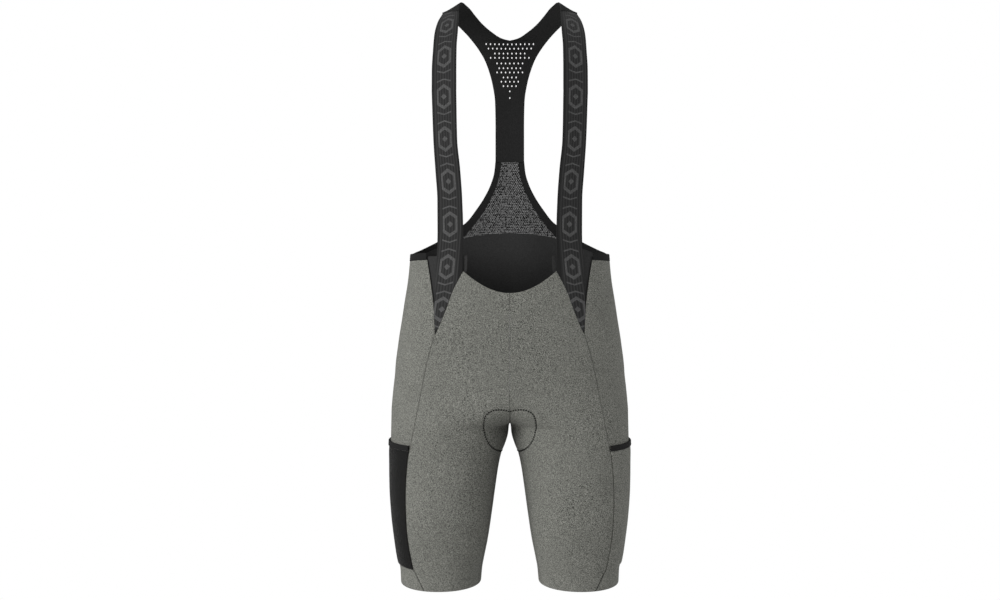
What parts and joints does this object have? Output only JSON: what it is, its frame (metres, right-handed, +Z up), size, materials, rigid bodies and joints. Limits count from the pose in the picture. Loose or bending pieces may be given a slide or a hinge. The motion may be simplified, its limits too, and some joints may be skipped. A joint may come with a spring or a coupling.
{
  "type": "cargo bib cycling shorts",
  "caption": "Knee-length cycling shorts with elastic braces, a Y-shaped upper back, a mesh back insert, a padded seat and a flat pocket on each thigh, filled out as worn.",
  "frame": {"origin": "midway between the tops of the two shoulders, where a wearer's shoulders hold the garment up", "axes": "+Z up, the front faces -Y, the wearer's left is +X"},
  "size_m": [0.3752, 0.2392, 0.8947],
  "materials": {
    "grey_jersey": "matte speckled warm-grey stretch jersey",
    "black_jersey": "smooth matte black stretch jersey",
    "black_tape": "matte black binding tape",
    "grey_mesh": "fine dark-grey mesh",
    "brace_elastic": "ribbed dark-grey openwork elastic",
    "pad_foam": "matte dark padded cloth"
  },
  "bodies": {
    "root": {"front_panel_left": "grey_jersey", "front_panel_right": "grey_jersey", "side_panel_left": "grey_jersey", "side_panel_right": "grey_jersey", "back_panel_left": "grey_jersey", "back_panel_right": "grey_jersey", "hem_gusset_left": "grey_jersey", "hem_gusset_right": "grey_jersey", "pocket_left": "grey_jersey", "pocket_right": "black_jersey", "pocket_tape_left": "black_tape", "pocket_tape_right": "black_tape", "waist_tape_left": "black_tape", "waist_tape_right": "black_tape", "yoke": "black_jersey", "mesh_insert": "grey_mesh", "upper_back": "black_jersey", "brace_left": "brace_elastic", "brace_right": "brace_elastic", "seat_pad": "pad_foam"}
  },
  "joints": []
}
